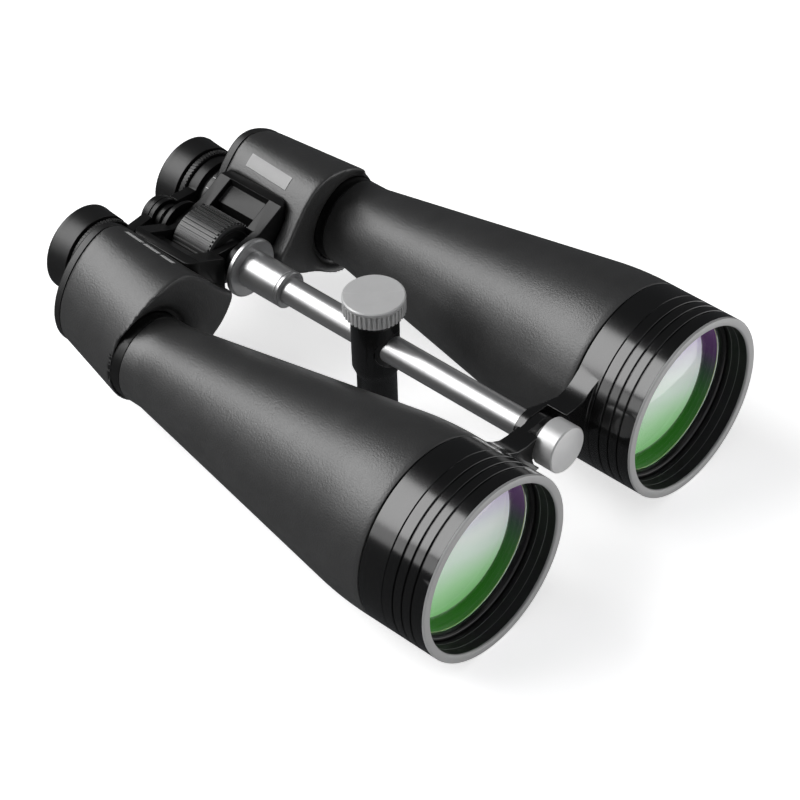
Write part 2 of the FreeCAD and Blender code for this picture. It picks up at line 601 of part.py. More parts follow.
def clamp_shoe():
    return upright(SCREW_R, BUSH_TOP_Z + 0.35, BUSH_TOP_Z + 2.4)


def clamp_screw():
    return upright(SCREW_R, BUSH_TOP_Z + 2.5, CLAMP_Z[0] + SCREW_IN_KNOB)


def clamp_knob():
    z0, z1 = CLAMP_Z
    grip = ribbed(CLAMP_R, 1.1, CLAMP_RIBS, 0, z1 - z0 - CLAMP_TOP)
    grip.rotate(V(0, 0, 0), V(1, 0, 0), 90)
    grip.translate(V(0, POST_Y, z0))
    collar = upright(CLAMP_COLLAR_R, z0 - 2.2, z0 + 0.1)
    part = grip.fuse([upright(CLAMP_R, z1 - CLAMP_TOP - 0.1, z1), collar])
    return part.cut(upright(SCREW_R, z0 - 5, z0 + SCREW_IN_KNOB)).removeSplitter()


# ---- the object -----------------------------------------------------------------------------
def half_pieces(side):
    return {"hood": hood(), "front_brace": front_brace(side), "barrel": barrel(), "lens_cell": lens_cell(),
            "lens_retainer": lens_retainer(), "front_lens": front_lens(), "rear_lens": rear_lens(),
            "barrel_baffle": barrel_baffle(), "prism_housing": housing(side), "armour": armour(side),
            "rear_cover": rear_cover(), "cover_screws": cover_screws(), "prism_shelf": prism_shelf(),
            "front_prism": front_prism(), "rear_prism": rear_prism(), "prism_pads": prism_pads(),
            "eyepiece_tube": eyepiece_tube(), "field_lens": field_lens(), "eye_lens": eye_lens(),
            "eyepiece_arm": eyepiece_arm(side), "dioptre_ring" if side == "right" else "grip_ring": grip_ring(),
            "eyecup": eyecup()}


def centre_pieces():
    return {"centre_rod": centre_rod(), "rod_sleeve": rod_sleeve(), "rod_flange": rod_flange(),
            "hinge_tube": hinge_tube(), "hinge_end_cap": hinge_end_cap(), "tension_knob": tension_knob(),
            "focus_wheel": focus_wheel(), "focus_screw": focus_screw(), "bridge_pin": bridge_pin(),
            "post_bush": post_bush(), "tripod_post": tripod_post(), "clamp_shoe": clamp_shoe(),
            "clamp_screw": clamp_screw(), "clamp_knob": clamp_knob()}


def save(name, shape):
    shape = shape.copy()
    shape.translate(MIDDLE)
    shape.exportStep("parts/" + name + ".step")
    print(name, len(shape.Solids), round(shape.Volume), shape.isValid())


os.makedirs("parts", exist_ok=True)
for name, shape in half_pieces("right").items():
    save("right_" + name, shape)
for name, shape in half_pieces("left").items():
    save("left_" + name, shape.mirror(V(0, 0, 0), V(1, 0, 0)))
for name, shape in centre_pieces().items():
    save(name, shape)
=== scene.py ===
# %% [markdown]
# # Giant astronomy binoculars
# Two long tapered barrels fold about a steel rod. At the back each barrel ends in a rubber
# covered prism housing, and a wheel between the housings focuses both eyepieces.
# The engineering model is loaded first, as a frame. It already has the right sizes and places,
# so this lesson is about the surfaces: round pieces are spun again with finer edges, cast and
# moulded pieces are bevelled copies, and every piece gets a finish made of nodes.

# %% load the frame
import json
import math

import bmesh
import bpy
from mathutils import Matrix, Vector
from mathutils.bvhtree import BVHTree


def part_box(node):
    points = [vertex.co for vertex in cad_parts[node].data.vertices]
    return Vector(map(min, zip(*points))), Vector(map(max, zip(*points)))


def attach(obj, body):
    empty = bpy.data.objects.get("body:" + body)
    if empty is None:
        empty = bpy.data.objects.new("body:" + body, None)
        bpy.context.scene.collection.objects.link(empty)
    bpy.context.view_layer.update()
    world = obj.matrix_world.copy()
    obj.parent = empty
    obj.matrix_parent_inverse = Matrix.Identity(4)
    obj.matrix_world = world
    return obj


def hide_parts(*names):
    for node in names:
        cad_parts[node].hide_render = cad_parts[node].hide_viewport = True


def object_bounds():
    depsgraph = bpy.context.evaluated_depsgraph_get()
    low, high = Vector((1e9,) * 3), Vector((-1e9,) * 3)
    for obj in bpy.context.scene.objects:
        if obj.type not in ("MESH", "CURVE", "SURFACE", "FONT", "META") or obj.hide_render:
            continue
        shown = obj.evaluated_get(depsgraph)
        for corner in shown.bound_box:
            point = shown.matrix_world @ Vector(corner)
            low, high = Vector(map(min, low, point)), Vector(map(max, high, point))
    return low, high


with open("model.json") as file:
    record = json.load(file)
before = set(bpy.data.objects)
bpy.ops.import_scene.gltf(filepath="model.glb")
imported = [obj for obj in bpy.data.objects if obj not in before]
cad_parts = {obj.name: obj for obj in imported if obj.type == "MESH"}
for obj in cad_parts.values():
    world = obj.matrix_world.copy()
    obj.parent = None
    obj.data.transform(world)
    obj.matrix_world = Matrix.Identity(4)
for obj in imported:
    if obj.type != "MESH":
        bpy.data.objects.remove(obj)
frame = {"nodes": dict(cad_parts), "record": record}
cad_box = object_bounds()
record = frame["record"]
body_of = {node: body for body, nodes in record["behaviour"]["bodies"].items() for node in nodes}
slot_of = {part["node"]: part["material_slot"] for part in record["subparts"]}

# %% [markdown]
# A maker thinks of these binoculars in millimetres, counted back from the front rims and up
# from the axes of the barrels. Blender works in metres about the frame's own origin. The axes
# of the turned parts are read from the frame's boxes, so a piece can't stand beside its node.

# %% units and axes
MM = 0.001
SIDES = {"left": -1, "right": 1}


def middle_of(node):
    """Centre of a node's box, in metres."""
    low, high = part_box(node)
    return (low + high) / 2


FRONT = cad_box[0].y
AXIS_Z = middle_of("right_hood").z
BARREL = {side: middle_of(side + "_hood").x for side in SIDES}
ROD = middle_of("centre_rod")
EYE = {side: middle_of(side + "_eyepiece_tube") for side in SIDES}
POST = middle_of("post_bush")
print("barrel axes at x =", {s: round(x, 4) for s, x in BARREL.items()}, "rod at z =", round(ROD.z, 4))

# %% [markdown]
# ## The camera
# The camera looks down on the binoculars from the front left with a long lens, as a catalogue
# picture does. It stands far away, so the two barrels keep nearly the same width all along.
# Its direction is an azimuth, an elevation and a small roll, turned into three axes.

# %% camera
AZIMUTH, ELEVATION, ROLL = (math.radians(a) for a in (-46.239, 41.589, -1.955))
AIM = Vector((22.77, -8.50, 1.15)) * MM
DISTANCE = 1405.97 * MM
SENSOR_WIDTH, FOCAL_LENGTH, NEAR_CLIP = 36, 127.545, 0.05


def camera_axes():
    """Right, up and back directions of the camera."""
    back = Vector((math.sin(AZIMUTH) * math.cos(ELEVATION), -math.cos(AZIMUTH) * math.cos(ELEVATION),
                   math.sin(ELEVATION)))
    level = Vector((math.cos(AZIMUTH), math.sin(AZIMUTH), 0))
    rise = back.cross(level)
    right = level * math.cos(ROLL) + rise * math.sin(ROLL)
    return right, back.cross(right), back


lens_data = bpy.data.cameras.new("product_camera")
lens_data.sensor_width = SENSOR_WIDTH
lens_data.lens = FOCAL_LENGTH
lens_data.clip_start = NEAR_CLIP
camera = bpy.data.objects.new("product_camera", lens_data)
bpy.context.scene.collection.objects.link(camera)
right, up, back = camera_axes()
camera.matrix_world = Matrix.Translation(AIM + back * DISTANCE) @ Matrix((right, up, back)).transposed().to_4x4()
bpy.context.scene.camera = camera
print("camera at", [round(v, 3) for v in camera.matrix_world.translation])

# %% [markdown]
# ## Shader groups
# Four effects are used again and again, so each one is a node group: grain gives a height for
# the bump, drift varies colour and roughness over a surface, wear lightens the edges that
# hands rub, and turning gives the fine circles that a lathe leaves on metal.

# %% node group helper
def new_group(name, inputs, outputs):
    """Empty node group with named sockets; returns the group and its two end nodes."""
    group = bpy.data.node_groups.new(name, "ShaderNodeTree")
    for label, kind, value in inputs:
        socket = group.interface.new_socket(label, in_out="INPUT", socket_type="NodeSocket" + kind)
        socket.default_value = value
    for label, kind in outputs:
        group.interface.new_socket(label, in_out="OUTPUT", socket_type="NodeSocket" + kind)
    return group, group.nodes.new("NodeGroupInput"), group.nodes.new("NodeGroupOutput")


def maths(tree, kind, first, second=None, third=None):
    """Math node whose inputs are sockets or numbers."""
    node = tree.nodes.new("ShaderNodeMath")
    node.operation = kind
    for slot, value in zip(node.inputs, (first, second, third)):
        if isinstance(value, (int, float)):
            slot.default_value = value
        elif value is not None:
            tree.links.new(value, slot)
    return node.outputs[0]


def noise(tree, vector, scale, detail=3.0, rough=0.5):
    """Noise texture; scale is a socket or a number."""
    node = tree.nodes.new("ShaderNodeTexNoise")
    node.inputs["Detail"].default_value = detail
    node.inputs["Roughness"].default_value = rough
    tree.links.new(vector, node.inputs["Vector"])
    if isinstance(scale, (int, float)):
        node.inputs["Scale"].default_value = scale
    else:
        tree.links.new(scale, node.inputs["Scale"])
    return node.outputs["Fac"]


MIX_SHARE, MIX_FIRST, MIX_SECOND, MIX_RESULT = 0, 6, 7, 2    # a Mix node's sockets when it mixes colours


def blend_colours(tree, share, first, second):
    """Mix node set to colours."""
    node = tree.nodes.new("ShaderNodeMix")
    node.data_type = "RGBA"
    tree.links.new(share, node.inputs[MIX_SHARE])
    tree.links.new(first, node.inputs[MIX_FIRST])
    tree.links.new(second, node.inputs[MIX_SECOND])
    return node.outputs[MIX_RESULT]


print("group helpers ready")

# %% grain: small pebbles over a larger unevenness
grain, ends, out = new_group("surface_grain",
                             [("Scale", "Float", 1500.0), ("Pebble", "Float", 0.7),
                              ("Stretch", "Vector", (1, 1, 1))],
                             [("Height", "Float")])
place = grain.nodes.new("ShaderNodeTexCoord")
stretch = grain.nodes.new("ShaderNodeVectorMath")
stretch.operation = "MULTIPLY"
grain.links.new(place.outputs["Object"], stretch.inputs[0])
grain.links.new(ends.outputs["Stretch"], stretch.inputs[1])
cells = grain.nodes.new("ShaderNodeTexVoronoi")
cells.feature = "SMOOTH_F1"
grain.links.new(stretch.outputs[0], cells.inputs["Vector"])
grain.links.new(ends.outputs["Scale"], cells.inputs["Scale"])
fine = noise(grain, stretch.outputs[0], ends.outputs["Scale"], 2.0)
broad = noise(grain, stretch.outputs[0], maths(grain, "MULTIPLY", ends.outputs["Scale"], 0.12), 4.0)
pebbles = maths(grain, "MULTIPLY", maths(grain, "SUBTRACT", 1.0, cells.outputs["Distance"]), ends.outputs["Pebble"])
mixed = maths(grain, "MULTIPLY_ADD", fine, maths(grain, "SUBTRACT", 1.0, ends.outputs["Pebble"]), pebbles)
grain.links.new(maths(grain, "MULTIPLY_ADD", broad, 0.6, mixed), out.inputs["Height"])
print("grain group has", len(grain.nodes), "nodes")

# %% drift: slow change of colour and roughness
drift, ends, out = new_group("surface_drift",
                             [("Colour", "Color", (0.02, 0.02, 0.02, 1)),
                              ("Other Colour", "Color", (0.03, 0.03, 0.03, 1)),
                              ("Scale", "Float", 60.0), ("Smooth", "Float", 0.4), ("Rough", "Float", 0.5)],
                             [("Colour", "Color"), ("Roughness", "Float")])
place = drift.nodes.new("ShaderNodeTexCoord")
cloud = noise(drift, place.outputs["Object"], ends.outputs["Scale"], 5.0, 0.6)
speck = noise(drift, place.outputs["Object"], maths(drift, "MULTIPLY", ends.outputs["Scale"], 9.0), 2.0)
tint = blend_colours(drift, cloud, ends.outputs["Colour"], ends.outputs["Other Colour"])
drift.links.new(tint, out.inputs["Colour"])
both = maths(drift, "MULTIPLY_ADD", speck, 0.45, maths(drift, "MULTIPLY", cloud, 0.55))
span = maths(drift, "SUBTRACT", ends.outputs["Rough"], ends.outputs["Smooth"])
drift.links.new(maths(drift, "MULTIPLY_ADD", both, span, ends.outputs["Smooth"]), out.inputs["Roughness"])
print("drift group has", len(drift.nodes), "nodes")

# %% wear: edges rubbed lighter, broken up by noise
WEAR_STARTS, WEAR_FULL = 0.56, 0.66    # pointiness: a smooth cylinder stays below the first


wear, ends, out = new_group("edge_wear",
                            [("Colour", "Color", (0.02, 0.02, 0.02, 1)),
                             ("Worn Colour", "Color", (0.2, 0.2, 0.2, 1)), ("Amount", "Float", 0.5)],
                            [("Colour", "Color"), ("Mask", "Float")])
place = wear.nodes.new("ShaderNodeTexCoord")
shape = wear.nodes.new("ShaderNodeNewGeometry")
edge = wear.nodes.new("ShaderNodeMapRange")
edge.inputs["From Min"].default_value = WEAR_STARTS
edge.inputs["From Max"].default_value = WEAR_FULL
wear.links.new(shape.outputs["Pointiness"], edge.inputs["Value"])
broken = noise(wear, place.outputs["Object"], 420.0, 5.0, 0.65)
mask = maths(wear, "MULTIPLY", maths(wear, "MULTIPLY", edge.outputs["Result"], broken), ends.outputs["Amount"])
wear.links.new(blend_colours(wear, mask, ends.outputs["Colour"], ends.outputs["Worn Colour"]), out.inputs["Colour"])
wear.links.new(mask, out.inputs["Mask"])
print("wear group has", len(wear.nodes), "nodes")

# %% turning: circles left by the lathe, about any axis
turning, ends, out = new_group("lathe_turning",
                               [("Centre", "Vector", (0, 0, 0)), ("Across", "Vector", (1, 0, 1)),
                                ("Pitch", "Float", 4000.0), ("Smooth", "Float", 0.15), ("Rough", "Float", 0.35)],
                               [("Height", "Float"), ("Roughness", "Float")])
place = turning.nodes.new("ShaderNodeTexCoord")
offset = turning.nodes.new("ShaderNodeVectorMath")
offset.operation = "SUBTRACT"
turning.links.new(place.outputs["Object"], offset.inputs[0])
turning.links.new(ends.outputs["Centre"], offset.inputs[1])
flat = turning.nodes.new("ShaderNodeVectorMath")
flat.operation = "MULTIPLY"
turning.links.new(offset.outputs[0], flat.inputs[0])
turning.links.new(ends.outputs["Across"], flat.inputs[1])
radius = turning.nodes.new("ShaderNodeVectorMath")
radius.operation = "LENGTH"
turning.links.new(flat.outputs[0], radius.inputs[0])
rings = turning.nodes.new("ShaderNodeTexNoise")
rings.noise_dimensions = "1D"
rings.inputs["Detail"].default_value = 3.0
rings.inputs["Scale"].default_value = 1.0
turning.links.new(maths(turning, "MULTIPLY", radius.outputs["Value"], ends.outputs["Pitch"]), rings.inputs["W"])
smudge = noise(turning, place.outputs["Object"], 90.0, 4.0)
turning.links.new(rings.outputs["Fac"], out.inputs["Height"])
share = maths(turning, "MULTIPLY_ADD", rings.outputs["Fac"], 0.5, maths(turning, "MULTIPLY", smudge, 0.5))
span = maths(turning, "SUBTRACT", ends.outputs["Rough"], ends.outputs["Smooth"])
turning.links.new(maths(turning, "MULTIPLY_ADD", share, span, ends.outputs["Smooth"]), out.inputs["Roughness"])
print("turning group has", len(turning.nodes), "nodes")

# %% [markdown]
# ## Finishes
# One function lays out the usual chain: drift sets the colour and the roughness, wear works on
# the colour, and grain drives a bump. What is the same all over, such as the coat or the
# metallic value, is set on the shader itself. Each finish is then one line of its own values.

# %% finish builder
def grey(value, tint=(1.0, 1.0, 1.0)):
    return (value * tint[0], value * tint[1], value * tint[2], 1)


def place_group(tree, group, **values):
    """Group node with its inputs set; spaces in a socket's name are written as underscores."""
    node = tree.nodes.new("ShaderNodeGroup")
    node.node_tree = group
    for label, value in values.items():
        node.inputs[label.replace("_", " ")].default_value = value
    return node


def empty_material(name, **shader_values):
    """Material with a Principled shader; keywords set its own sockets."""
    material = bpy.data.materials.new(name)
    material.use_nodes = True
    tree = material.node_tree
    shader = tree.nodes["Principled BSDF"]
    for label, value in shader_values.items():
        shader.inputs[label.replace("_", " ")].default_value = value
    return material, tree, shader


def add_bump(tree, shader, height, depth):
    """Bump of a given depth in metres, at full strength."""
    bump = tree.nodes.new("ShaderNodeBump")
    bump.inputs["Strength"].default_value = 1.0
    bump.inputs["Distance"].default_value = depth
    tree.links.new(height, bump.inputs["Height"])
    tree.links.new(bump.outputs["Normal"], shader.inputs["Normal"])


def finish(name, colour, other, worn, wear_amount, smooth, rough, grain_scale, pebble, depth,
           drift_scale=60.0, stretch=(1, 1, 1), **shader_values):
    """Coated or moulded surface with drift, edge wear and grain."""
    material, tree, shader = empty_material(name, **shader_values)
    tone = place_group(tree, drift, Colour=colour, Other_Colour=other, Scale=drift_scale, Smooth=smooth,
                       Rough=rough)
    rub = place_group(tree, wear, Worn_Colour=worn, Amount=wear_amount)
    bumps = place_group(tree, grain, Scale=grain_scale, Pebble=pebble, Stretch=stretch)
    tree.links.new(tone.outputs["Colour"], rub.inputs["Colour"])
    tree.links.new(rub.outputs["Colour"], shader.inputs["Base Color"])
    tree.links.new(tone.outputs["Roughness"], shader.inputs["Roughness"])
    add_bump(tree, shader, bumps.outputs["Height"], depth)
    return material


print("finish builder ready")

# %% coatings, rubber and plastic
FINISHES = {
    "armour_rubber": finish("armour_rubber", grey(0.026), grey(0.044), grey(0.09), 0.5, 0.33, 0.46, 1150.0, 0.6,
                            0.00010, drift_scale=70.0, Specular_IOR_Level=1.0),
    "hood_enamel": finish("hood_enamel", grey(0.005), grey(0.006), grey(0.30), 0.7, 0.11, 0.14, 1800.0, 0.0,
                          0.0000006, Specular_IOR_Level=0.9),
    "brace_enamel": finish("brace_enamel", grey(0.006), grey(0.008), grey(0.30), 0.7, 0.14, 0.20, 1500.0, 0.1,
                           0.000002, Specular_IOR_Level=0.9),
    "hood_lining": finish("hood_lining", grey(0.006), grey(0.009), grey(0.20), 0.8, 0.45, 0.60, 1600.0, 0.3,
                          0.00002, Specular_IOR_Level=0.4),
    "cast_black": finish("cast_black", grey(0.007), grey(0.010), grey(0.20), 0.7, 0.26, 0.38, 1100.0, 0.3,
                         0.00002, Specular_IOR_Level=0.35),
    "cover_black": finish("cover_black", grey(0.009), grey(0.013), grey(0.10), 0.5, 0.38, 0.48, 1300.0, 0.5,
                          0.00003, Specular_IOR_Level=0.7),
    "black_anodised": finish("black_anodised", grey(0.006), grey(0.010), grey(0.22), 0.7, 0.24, 0.36, 1400.0, 0.1,
                             0.00001, Specular_IOR_Level=0.6),
    "matt_black": finish("matt_black", grey(0.005), grey(0.008), grey(0.03), 0.3, 0.70, 0.85, 1600.0, 0.4, 0.00005,
                         Specular_IOR_Level=0.3),
    "eyecup_rubber": finish("eyecup_rubber", grey(0.008), grey(0.012), grey(0.04), 0.4, 0.32, 0.42, 1900.0, 0.3,
                            0.00002, Specular_IOR_Level=0.6),
    "wheel_plastic": finish("wheel_plastic", grey(0.018), grey(0.026), grey(0.20), 0.8, 0.30, 0.42, 1700.0, 0.3,
                            0.00002, Specular_IOR_Level=0.8),
    "bush_nylon": finish("bush_nylon", grey(0.010), grey(0.015), grey(0.05), 0.2, 0.35, 0.5, 900.0, 0.1, 0.00002),
    "cork_pad": finish("cork_pad", grey(0.35, (1.0, 0.66, 0.40)), grey(0.22, (1.0, 0.6, 0.35)), grey(0.4), 0.2,
                       0.75, 0.9, 900.0, 0.8, 0.0002, drift_scale=500.0),
    "name_print": finish("name_print", grey(0.50), grey(0.60), grey(0.7), 0.2, 0.4, 0.55, 1800.0, 0.2, 0.00001),
}
print(len(FINISHES), "coated finishes")

# %% metals
FINISHES["screw_black"] = finish("screw_black", grey(0.05), grey(0.07), grey(0.35), 0.9, 0.25, 0.40, 2500.0, 0.1,
                                 0.00001, Metallic=1.0)
FINISHES["dark_steel"] = finish("dark_steel", grey(0.22), grey(0.28), grey(0.5), 0.5, 0.22, 0.36, 2200.0, 0.0,
                                0.00001, stretch=(1, 0.04, 1), Metallic=1.0)
FINISHES["polished_steel"] = finish("polished_steel", grey(0.60, (1.0, 1.0, 1.01)), grey(0.66), grey(0.75), 0.5,
                                    0.30, 0.38, 2600.0, 0.0, 0.00001, stretch=(1, 0.02, 1), Metallic=0.85)
FINISHES["shelf_alloy"] = finish("shelf_alloy", grey(0.50), grey(0.58), grey(0.7), 0.4, 0.30, 0.45, 1200.0, 0.2,
                                 0.00002, Metallic=1.0)
FINISHES["shoe_brass"] = finish("shoe_brass", (0.62, 0.45, 0.16, 1), (0.55, 0.38, 0.13, 1), grey(0.7), 0.4,
                                0.20, 0.34, 1500.0, 0.0, 0.00001, Metallic=1.0)
FINISHES["plate_silver"] = finish("plate_silver", grey(0.18), grey(0.23), grey(0.4), 0.5, 0.34, 0.46, 1500.0, 0.0,
                                  0.00001, drift_scale=35.0, stretch=(0.05, 1, 1), Metallic=0.6)


def turned_finish(name, centre, across, colour, pitch, smooth, rough, depth, **shader_values):
    """Lathe-turned metal: fine circles about one axis."""
    material, tree, shader = empty_material(name, **shader_values)
    lathe = place_group(tree, turning, Centre=centre, Across=across, Pitch=pitch, Smooth=smooth, Rough=rough)
    darker = tuple(c * 0.86 for c in colour[:3]) + (1,)
    tone = place_group(tree, drift, Colour=colour, Other_Colour=darker, Scale=120.0)
    rub = place_group(tree, wear, Worn_Colour=grey(0.85), Amount=0.7)
    tree.links.new(tone.outputs["Colour"], rub.inputs["Colour"])
    tree.links.new(rub.outputs["Colour"], shader.inputs["Base Color"])
    tree.links.new(lathe.outputs["Roughness"], shader.inputs["Roughness"])
    add_bump(tree, shader, lathe.outputs["Height"], depth)
    return material


FINISHES["turned_alloy"] = turned_finish("turned_alloy", (0, 0, ROD.z), (1, 0, 1), grey(0.74), 5200.0, 0.28, 0.38,
                                         0.00002, Metallic=0.30)
FINISHES["clamp_alloy"] = turned_finish("clamp_alloy", (POST.x, POST.y, 0), (1, 1, 0), grey(0.78), 5200.0, 0.26,
                                        0.36, 0.00005, Metallic=0.20)
FINISHES["machined_rim"] = finish("machined_rim", grey(0.34), grey(0.38), grey(0.45), 0.5, 0.42, 0.52, 2400.0, 0.0,
                                  0.000004, Specular_IOR_Level=0.5, Metallic=0.25)
# The bore lands' lighter grey is a painted highlight: the thin light arcs along their edges.
FINISHES["land_painted_highlight"] = finish("land_painted_highlight", grey(0.12), grey(0.16), grey(0.3), 0.3, 0.35, 0.45, 2400.0, 0.0,
                                 0.000002, Metallic=0.3)
print(len(FINISHES), "finishes with the metals")

# %% [markdown]
# ## Glass
# An objective shows colour because its surfaces carry thin coatings: what they reflect turns
# from green to white to violet over the lens. The front element is clear glass with a faint
# tint. The disc and the wall behind it carry these colours as a painted reflection, which
# follows the height on the lens, and give a little of it off as a painted glow.

# %% glass and coating
def clear_glass(name, tint):
    material, tree, shader = empty_material(name, Transmission_Weight=1.0, IOR=1.46, Roughness=0.0,
                                            Specular_IOR_Level=0.4)
    tone = place_group(tree, drift, Colour=tint, Other_Colour=tuple(min(1.0, c * 1.04) for c in tint[:3]) + (1,),
                       Scale=30.0)
    tree.links.new(tone.outputs["Colour"], shader.inputs["Base Color"])
    return material


FINISHES["clear_glass"] = clear_glass("clear_glass", (0.93, 0.97, 0.95, 1))
FINISHES["coated_glass"] = clear_glass("coated_glass", (0.93, 0.98, 0.93, 1))


def painted_reflection_group(name, colours):
    """Group whose painted reflection colour follows the height on the lens; colours are (share, linear colour)."""
    bands, ends, out = new_group(name, [("Centre Height", "Float", AXIS_Z), ("Reach", "Float", 0.041)],
                                 [("Colour", "Color")])
    place = bands.nodes.new("ShaderNodeTexCoord")
    split = bands.nodes.new("ShaderNodeSeparateXYZ")
    bands.links.new(place.outputs["Object"], split.inputs[0])
    rise = maths(bands, "DIVIDE", maths(bands, "SUBTRACT", split.outputs["Z"], ends.outputs["Centre Height"]),
                 ends.outputs["Reach"])
    soft = noise(bands, place.outputs["Object"], 22.0, 1.0)
    level = maths(bands, "MULTIPLY_ADD", rise, 0.70, maths(bands, "MULTIPLY_ADD", soft, 0.12, 0.70))
    ramp = bands.nodes.new("ShaderNodeValToRGB")
    stops = ramp.color_ramp.elements
    stops[0].position, stops[1].position = colours[0][0], colours[-1][0]
    for position, _ in colours[1:-1]:
        stops.new(position)
    for stop, (_, colour) in zip(stops, colours):
        stop.color = colour + (1,)
    bands.links.new(level, ramp.inputs["Fac"])
    bands.links.new(ramp.outputs["Color"], out.inputs["Colour"])
    return bands


def painted_reflection_finish(name, colours, rough, painted_glow):
    """Surface painted with the coating's reflection colours; a little of its colour is given off as a painted glow.
    """
    material, tree, shader = empty_material(name, Roughness=rough, Specular_IOR_Level=0.3, Emission_Strength=painted_glow)
    tone = place_group(tree, painted_reflection_group(name + "_bands", colours))
    tree.links.new(tone.outputs["Colour"], shader.inputs["Base Color"])
    tree.links.new(tone.outputs["Colour"], shader.inputs["Emission Color"])
    return material


# Painted reflection colours by height on the lens; the bright set has a white painted highlight in its middle.
BRIGHT_PAINTED_REFLECTION = ((0.08, (0.16, 0.62, 0.12)), (0.26, (0.42, 0.80, 0.40)), (0.44, (0.80, 0.93, 0.84)),
          (0.58, (0.93, 0.95, 0.97)), (0.76, (0.72, 0.62, 0.84)), (0.93, (0.46, 0.26, 0.62)))
DEEP_PAINTED_REFLECTION = ((0.10, (0.03, 0.20, 0.01)), (0.35, (0.03, 0.14, 0.02)), (0.55, (0.04, 0.07, 0.05)),
        (0.72, (0.09, 0.03, 0.12)), (0.90, (0.10, 0.01, 0.14)))
FINISHES["lens_painted_reflection"] = painted_reflection_finish("lens_painted_reflection", BRIGHT_PAINTED_REFLECTION, 0.30, 0.36)
FINISHES["deep_painted_reflection"] = painted_reflection_finish("deep_painted_reflection", DEEP_PAINTED_REFLECTION, 0.25, 0.25)
# The lens spacer's yellow-green colour is a painted reflection: the bright ring seen at the edge of the lens.
FINISHES["ring_of_light"] = finish("ring_of_light", (0.42, 0.52, 0.10, 1), (0.50, 0.58, 0.16, 1), grey(0.7), 0.3,
                                   0.25, 0.35, 1500.0, 0.0, 0.000002)
print("coatings have", len(BRIGHT_PAINTED_REFLECTION) + len(DEEP_PAINTED_REFLECTION), "colours")

# %% [markdown]
# ## Modelling helpers
# A turned part is one profile spun about its axis: a few vertices joined by edges, then the
# spin operator with its ends merged. A bevel modifier rounds the circles that stay sharp.
# Cast and moulded parts start from a copy of their node, whose loose triangles are merged
# and whose flat areas are dissolved, so that the bevel finds clean edges.

# %% finishing a piece
made = []
BEVEL_SEGMENTS = 2
MERGE = 0.00001    # metres: points nearer than this are one point


def add_piece(bm, name, finish_name, body, replaces=(), bevel=0.0, angle=32.0):
    """Makes a bmesh an object, gives it its finish, and ties it to its body and nodes."""
    mesh = bpy.data.meshes.new(name)
    bm.normal_update()
    bm.to_mesh(mesh)
    bm.free()
    mesh.shade_smooth()
    mesh.set_sharp_from_angle(angle=math.radians(angle))
    piece = bpy.data.objects.new(name, mesh)
    bpy.context.scene.collection.objects.link(piece)
    mesh.materials.append(FINISHES[finish_name])
    if bevel:
        rounding = piece.modifiers.new("rounded edges", "BEVEL")
        rounding.width = bevel * MM
        rounding.segments = BEVEL_SEGMENTS
        rounding.limit_method = "ANGLE"
        rounding.angle_limit = math.radians(angle)
        rounding.use_clamp_overlap = False
        rounding.harden_normals = True
    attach(piece, body)
    if replaces:
        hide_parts(*replaces)
    made.append(name)
    return piece


def tidy(bm):
    """Merges the spin's seam and poles, and turns every face outwards."""
    bmesh.ops.remove_doubles(bm, verts=bm.verts[:], dist=MERGE)
    bmesh.ops.recalc_face_normals(bm, faces=bm.faces[:])


def spun(profile, centre, axis="Y", steps=144, ring=False):
    """Solid spun about Y or Z; profile is (radius, place) in millimetres, ring closes it."""
    bm = bmesh.new()
    verts = [bm.verts.new((r * MM, p * MM, 0)) for r, p in profile]
    edges = [bm.edges.new(pair) for pair in zip(verts, verts[1:])]
    if ring:
        edges.append(bm.edges.new((verts[-1], verts[0])))
    bmesh.ops.spin(bm, geom=verts + edges, cent=(0, 0, 0), axis=(0, 1, 0), angle=math.tau, steps=steps,
                   use_merge=True)
    tidy(bm)
    if axis == "Z":
        bmesh.ops.rotate(bm, verts=bm.verts[:], matrix=Matrix.Rotation(math.pi / 2, 3, "X"))
    bmesh.ops.translate(bm, verts=bm.verts[:], vec=centre)
    return bm


def along_barrel(side):
    return Vector((BARREL[side], FRONT, AXIS_Z))


def along_rod():
    return Vector((ROD.x, FRONT, ROD.z))


def along_eye(side):
    return Vector((EYE[side].x, FRONT, EYE[side].z))


def copied(node, merge=0.000002, flat=0.02):
    """Merged copy of a node's mesh, its flat areas dissolved."""
    bm = bmesh.new()
    bm.from_mesh(frame["nodes"][node].data)
    bmesh.ops.remove_doubles(bm, verts=bm.verts[:], dist=merge)
    bmesh.ops.dissolve_limit(bm, verts=bm.verts[:], edges=bm.edges[:], angle_limit=flat)
    return bm


def ribs(bm, centre, count, per_rib, wide, low, high, height):
    """Raises ribs on a spun band about Y: the faces between low and high, `wide` out of `per_rib`."""
    band = [f for f in bm.faces if low < (f.calc_center_median().y - centre.y) / MM < high
            and abs(f.normal.y) < 0.3 and (f.calc_center_median() - centre).dot(f.normal) > 0]
    step = math.tau / (count * per_rib)
    picked = []
    for face in band:
        c = face.calc_center_median() - centre
        if int(round(math.atan2(c.z, c.x) % math.tau / step - 0.5)) % per_rib < wide:
            picked.append(face)
    grown = bmesh.ops.extrude_face_region(bm, geom=picked)["geom"]
    bmesh.ops.delete(bm, geom=picked, context="FACES")
    for vert in (g for g in grown if isinstance(g, bmesh.types.BMVert)):
        out_way = vert.co - centre
        out_way.y = 0
        vert.co += out_way.normalized() * height * MM


print("helpers ready")

# %% [markdown]
# ## Objective end
# The dew hood is an enamelled aluminium tube with three grooves and a machined front rim.
# Rim, hood and blackened bore are spun apart, because they have different finishes. The bore
# has shallow steps, which is how stray light is trapped in front of the lens.

# %% hoods and rims
GROOVES = (8.1, 13.4, 18.7)


